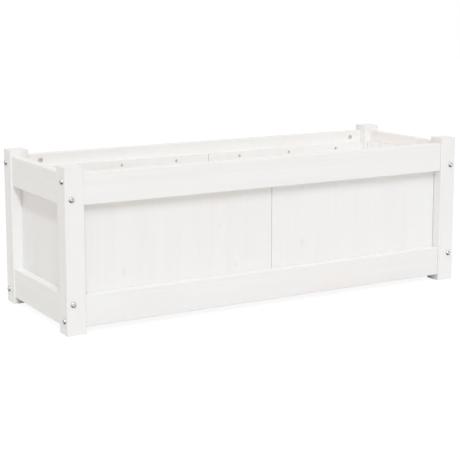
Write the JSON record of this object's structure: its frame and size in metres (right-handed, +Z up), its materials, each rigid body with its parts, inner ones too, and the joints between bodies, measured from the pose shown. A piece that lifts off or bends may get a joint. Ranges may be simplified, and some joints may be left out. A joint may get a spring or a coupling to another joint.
{
  "type": "planter",
  "caption": "Long rectangular wooden trough planter on square corner posts, with bolted rails, panelled sides and a slatted draining floor.",
  "frame": {"origin": "on the ground under the middle of the planter", "axes": "+X along the length, -Y towards the front, +Z up"},
  "size_m": [0.9066, 0.3166, 0.31],
  "materials": {
    "painted_pine": "thin white paint",
    "bolt_steel": "zinc plated",
    "screw_steel": "dull zinc"
  },
  "bodies": {
    "root": {"back_bottom_rail": "painted_pine", "back_floor_cleat": "painted_pine", "back_panel_left": "painted_pine", "back_panel_right": "painted_pine", "back_panel_screws": "screw_steel", "back_top_rail": "painted_pine", "cleat_screws": "screw_steel", "end_rail_barrel_nuts": "bolt_steel", "end_rail_bolts": "bolt_steel", "floor_slat_1": "painted_pine", "floor_slat_2": "painted_pine", "floor_slat_3": "painted_pine", "floor_slat_4": "painted_pine", "floor_slat_5": "painted_pine", "floor_slat_6": "painted_pine", "floor_slat_7": "painted_pine", "floor_slat_8": "painted_pine", "front_bottom_rail": "painted_pine", "front_floor_cleat": "painted_pine", "front_panel_left": "painted_pine", "front_panel_right": "painted_pine", "front_panel_screws": "screw_steel", "front_top_rail": "painted_pine", "left_bottom_rail": "painted_pine", "left_end_panel": "painted_pine", "left_panel_screws": "screw_steel", "left_top_rail": "painted_pine", "long_rail_barrel_nuts": "bolt_steel", "long_rail_bolts": "bolt_steel", "post_back_left": "painted_pine", "post_back_right": "painted_pine", "post_front_left": "painted_pine", "post_front_right": "painted_pine", "right_bottom_rail": "painted_pine", "right_end_panel": "painted_pine", "right_panel_screws": "screw_steel", "right_top_rail": "painted_pine", "slat_screws": "screw_steel"}
  },
  "joints": []
}
